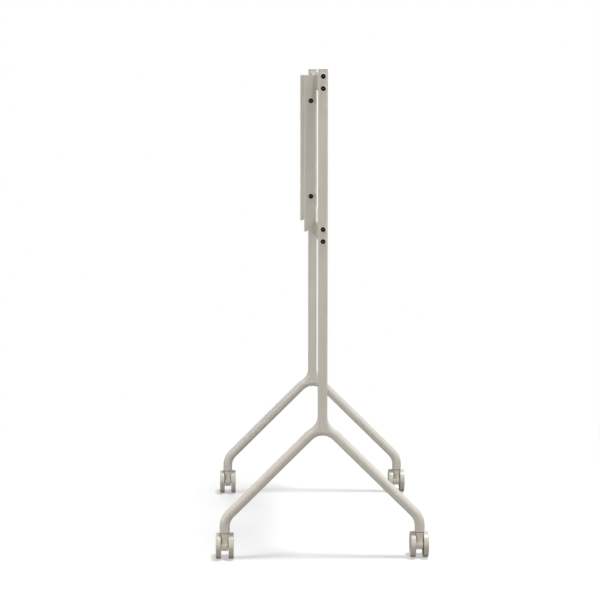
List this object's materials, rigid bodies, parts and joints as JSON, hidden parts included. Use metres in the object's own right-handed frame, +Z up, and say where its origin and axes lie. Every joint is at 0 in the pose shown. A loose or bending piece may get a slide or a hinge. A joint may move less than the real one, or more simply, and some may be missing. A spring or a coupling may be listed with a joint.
{
  "type": "rolling floor stand for a flat screen",
  "caption": "Rolling floor stand for a flat screen: square posts that fork into bent round legs on twin-wheel casters, joined by cross beams that carry slotted upright rails.",
  "frame": {"origin": "on the floor, midway between the four pairs of wheels; the frames and beams are centred 12 mm to the right of it, because every caster trails to the left", "axes": "X across the stand from one side frame to the other, -Y towards the viewer of the screen, +Z up"},
  "size_m": [0.8976, 0.636, 1.453],
  "materials": {
    "beige_paint": "fine-textured satin powder coat",
    "cap_plastic": "matt",
    "black_steel": "black oxide",
    "bare_steel": "bright",
    "socket_plastic": "matt",
    "caster_moulding": "satin",
    "tread_rubber": "satin"
  },
  "bodies": {
    "frame": {"beam_bolt_left_low_lower": "black_steel", "beam_bolt_left_low_upper": "black_steel", "beam_bolt_left_top_lower": "black_steel", "beam_bolt_left_top_upper": "black_steel", "beam_bolt_right_low_lower": "black_steel", "beam_bolt_right_low_upper": "black_steel", "beam_bolt_right_top_lower": "black_steel", "beam_bolt_right_top_upper": "black_steel", "caster_socket_front_left": "socket_plastic", "caster_socket_front_right": "socket_plastic", "caster_socket_rear_left": "socket_plastic", "caster_socket_rear_right": "socket_plastic", "lower_beam": "beige_paint", "post_cap_left": "cap_plastic", "post_cap_right": "cap_plastic", "side_frame_left": "beige_paint", "side_frame_right": "beige_paint", "top_beam": "beige_paint"},
    "rail_right": {"lower_hook_right": "beige_paint", "rail_bolt_right_lower": "black_steel", "rail_bolt_right_upper": "black_steel", "screen_rail_right": "beige_paint", "upper_hook_right": "beige_paint"},
    "rail_left": {"lower_hook_left": "beige_paint", "rail_bolt_left_lower": "black_steel", "rail_bolt_left_upper": "black_steel", "screen_rail_left": "beige_paint", "upper_hook_left": "beige_paint"},
    "caster_front_right": {"caster_stem_front_right": "bare_steel", "caster_housing_front_right": "caster_moulding", "caster_axle_front_right": "bare_steel"},
    "wheel_inner_front_right": {"wheel_inner_front_right": "caster_moulding", "tread_inner_front_right": "tread_rubber"},
    "wheel_outer_front_right": {"wheel_outer_front_right": "caster_moulding", "tread_outer_front_right": "tread_rubber"},
    "caster_front_left": {"caster_stem_front_left": "bare_steel", "caster_housing_front_left": "caster_moulding", "caster_axle_front_left": "bare_steel"},
    "wheel_inner_front_left": {"wheel_inner_front_left": "caster_moulding", "tread_inner_front_left": "tread_rubber"},
    "wheel_outer_front_left": {"wheel_outer_front_left": "caster_moulding", "tread_outer_front_left": "tread_rubber"},
    "caster_rear_right": {"caster_stem_rear_right": "bare_steel", "caster_housing_rear_right": "caster_moulding", "caster_axle_rear_right": "bare_steel"},
    "wheel_inner_rear_right": {"wheel_inner_rear_right": "caster_moulding", "tread_inner_rear_right": "tread_rubber"},
    "wheel_outer_rear_right": {"wheel_outer_rear_right": "caster_moulding", "tread_outer_rear_right": "tread_rubber"},
    "caster_rear_left": {"caster_stem_rear_left": "bare_steel", "caster_housing_rear_left": "caster_moulding", "caster_axle_rear_left": "bare_steel"},
    "wheel_inner_rear_left": {"wheel_inner_rear_left": "caster_moulding", "tread_inner_rear_left": "tread_rubber"},
    "wheel_outer_rear_left": {"wheel_outer_rear_left": "caster_moulding", "tread_outer_rear_left": "tread_rubber"}
  },
  "joints": [
    {"name": "rail_right_slide", "type": "slide", "parent": "frame", "child": "rail_right", "axis": [1, 0, 0], "range_m": [-0.1, 0.1]},
    {"name": "rail_left_slide", "type": "slide", "parent": "frame", "child": "rail_left", "axis": [1, 0, 0], "range_m": [-0.1, 0.1]},
    {"name": "swivel_front_right", "type": "hinge", "parent": "frame", "child": "caster_front_right", "pos_m": [0.422, -0.2915, 0.088], "axis": [0, 0, 1], "continuous": true},
    {"name": "spin_inner_front_right", "type": "hinge", "parent": "caster_front_right", "child": "wheel_inner_front_right", "pos_m": [0.41, -0.2915, 0.03877], "axis": [0, 1, 0], "continuous": true},
    {"name": "spin_outer_front_right", "type": "hinge", "parent": "caster_front_right", "child": "wheel_outer_front_right", "pos_m": [0.41, -0.2915, 0.03877], "axis": [0, 1, 0], "continuous": true},
    {"name": "swivel_front_left", "type": "hinge", "parent": "frame", "child": "caster_front_left", "pos_m": [-0.398, -0.2915, 0.088], "axis": [0, 0, 1], "continuous": true},
    {"name": "spin_inner_front_left", "type": "hinge", "parent": "caster_front_left", "child": "wheel_inner_front_left", "pos_m": [-0.41, -0.2915, 0.03877], "axis": [0, 1, 0], "continuous": true},
    {"name": "spin_outer_front_left", "type": "hinge", "parent": "caster_front_left", "child": "wheel_outer_front_left", "pos_m": [-0.41, -0.2915, 0.03877], "axis": [0, 1, 0], "continuous": true},
    {"name": "swivel_rear_right", "type": "hinge", "parent": "frame", "child": "caster_rear_right", "pos_m": [0.422, 0.2915, 0.088], "axis": [0, 0, 1], "continuous": true},
    {"name": "spin_inner_rear_right", "type": "hinge", "parent": "caster_rear_right", "child": "wheel_inner_rear_right", "pos_m": [0.41, 0.2915, 0.03877], "axis": [0, 1, 0], "continuous": true},
    {"name": "spin_outer_rear_right", "type": "hinge", "parent": "caster_rear_right", "child": "wheel_outer_rear_right", "pos_m": [0.41, 0.2915, 0.03877], "axis": [0, 1, 0], "continuous": true},
    {"name": "swivel_rear_left", "type": "hinge", "parent": "frame", "child": "caster_rear_left", "pos_m": [-0.398, 0.2915, 0.088], "axis": [0, 0, 1], "continuous": true},
    {"name": "spin_inner_rear_left", "type": "hinge", "parent": "caster_rear_left", "child": "wheel_inner_rear_left", "pos_m": [-0.41, 0.2915, 0.03877], "axis": [0, 1, 0], "continuous": true},
    {"name": "spin_outer_rear_left", "type": "hinge", "parent": "caster_rear_left", "child": "wheel_outer_rear_left", "pos_m": [-0.41, 0.2915, 0.03877], "axis": [0, 1, 0], "continuous": true}
  ]
}
